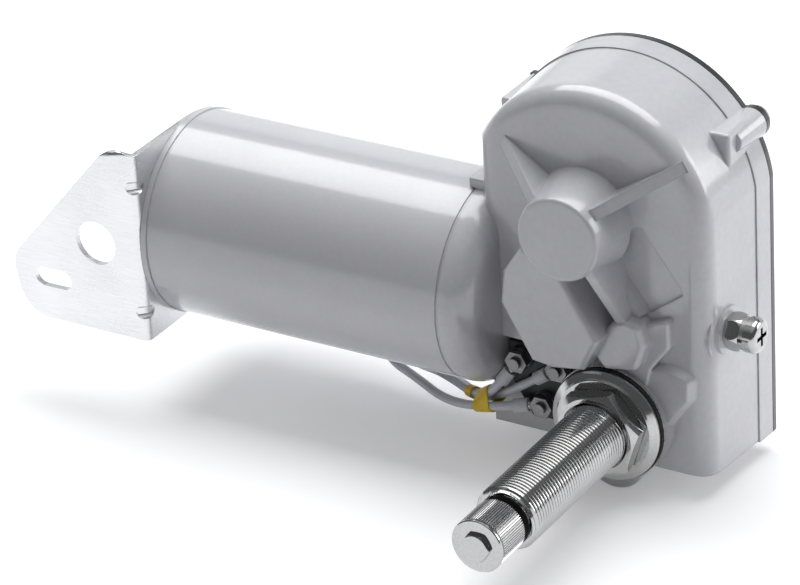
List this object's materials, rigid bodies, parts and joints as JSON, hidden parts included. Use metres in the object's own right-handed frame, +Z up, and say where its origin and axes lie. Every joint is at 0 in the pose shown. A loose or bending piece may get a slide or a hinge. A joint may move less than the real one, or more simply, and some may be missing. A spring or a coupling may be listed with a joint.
{
  "type": "wiper motor",
  "caption": "Boat wiper motor: silver motor can beside a D-shaped gear housing, long threaded spindle sleeve with nut, washers and knurled driver, and a sheet bracket at the motor's end.",
  "frame": {"origin": "on the output spindle's axis, in the plane of the rear bracket's front face, which is the bulkhead's plane", "axes": "+Z up; -Y along the spindle, out through the bulkhead; the motor can lies along -X"},
  "size_m": [0.2631, 0.139, 0.1382],
  "materials": {
    "silver_paint": "satin silver paint over a die casting or steel tube",
    "black_paint": "black enamel over the steel cover plate",
    "polished_steel": "bright polished and plated steel",
    "zinc_plate": "bright zinc plate",
    "plain_steel": "ground steel, lightly oiled",
    "dark_iron": "dark laminated or sintered iron",
    "black_rubber": "matt black rubber",
    "black_moulding": "dull black moulding",
    "grey_insulation": "grey-white cable insulation",
    "grey_sleeve": "soft grey insulating tube",
    "yellow_sleeve": "yellow marker sleeve, blank",
    "bronze": "oil-filled sintered bronze",
    "copper": "enamelled and bare copper",
    "spring_brass": "rolled brass",
    "carbon": "pressed carbon",
    "ivory_nylon": "moulded nylon, greased"
  },
  "bodies": {
    "housing": {"gear_housing": "silver_paint", "motor_can": "silver_paint", "back_cover": "black_paint", "rear_end_cap": "silver_paint", "mounting_bracket": "zinc_plate", "cover_screws": "zinc_plate", "tie_bolts": "zinc_plate", "terminal_nuts": "zinc_plate", "terminal_studs": "zinc_plate", "ring_lugs": "zinc_plate", "thrust_lock_nut": "polished_steel", "thrust_spring_washer": "zinc_plate", "thrust_screw": "polished_steel", "steel_washer": "zinc_plate", "spindle_sleeve": "polished_steel", "dished_washer": "polished_steel", "sleeve_nut": "polished_steel", "rubber_washers": "black_rubber", "spindle_seal": "black_rubber", "housing_gasket": "black_rubber", "can_seal_ring": "silver_paint", "lead_boot": "black_rubber", "field_magnets": "dark_iron", "brush_holder": "black_moulding", "park_plate": "black_moulding", "terminal_plate": "black_moulding", "thrust_pad": "black_moulding", "brush_boxes": "spring_brass", "park_contacts": "spring_brass", "brush_springs": "plain_steel", "carbon_brushes": "carbon", "front_motor_bush": "bronze", "rear_motor_bush": "bronze", "worm_end_bush": "bronze", "front_spindle_bush": "bronze", "rear_spindle_bush": "bronze", "wheel_axle": "plain_steel", "axle_washers": "plain_steel", "axle_clip": "plain_steel", "lead_one": "grey_insulation", "lead_two": "grey_insulation", "lead_three": "grey_insulation", "lug_tubes": "grey_sleeve", "marker_sleeves": "yellow_sleeve"},
    "armature": {"armature_shaft": "plain_steel", "armature_core": "dark_iron", "armature_windings": "copper", "commutator": "copper"},
    "wheel": {"worm_wheel": "ivory_nylon", "park_disc": "spring_brass", "crank_pin": "plain_steel"},
    "rod": {"connecting_rod": "zinc_plate", "rod_bushes": "bronze"},
    "spindle": {"spindle_shaft": "plain_steel", "rocker_arm": "plain_steel", "rocker_pin": "plain_steel", "rod_clip": "plain_steel", "knurled_driver": "polished_steel", "driver_cap_screw": "polished_steel", "spindle_shim": "bronze"}
  },
  "joints": [
    {"name": "armature_spin", "type": "hinge", "parent": "housing", "child": "armature", "pos_m": [-0.06, 0.0346, 0.0324], "axis": [1, 0, 0], "continuous": true},
    {"name": "wheel_spin", "type": "hinge", "parent": "housing", "child": "wheel", "pos_m": [-0.01, 0.0346, 0.068], "axis": [0, 1, 0], "continuous": true},
    {"name": "spindle_sweep", "type": "hinge", "parent": "housing", "child": "spindle", "pos_m": [0, 0, 0], "axis": [0, -1, 0], "range_deg": [-55, 55]},
    {"name": "rod_pivot", "type": "hinge", "parent": "spindle", "child": "rod", "pos_m": [-0.011, 0.045, 0], "axis": [0, -1, 0], "range_deg": [-55, 55]}
  ],
  "couplings": [
    {"joint": "wheel_spin", "follows": "armature_spin", "ratio": 0.021277},
    {"joint": "rod_pivot", "follows": "spindle_sweep", "ratio": -1}
  ]
}
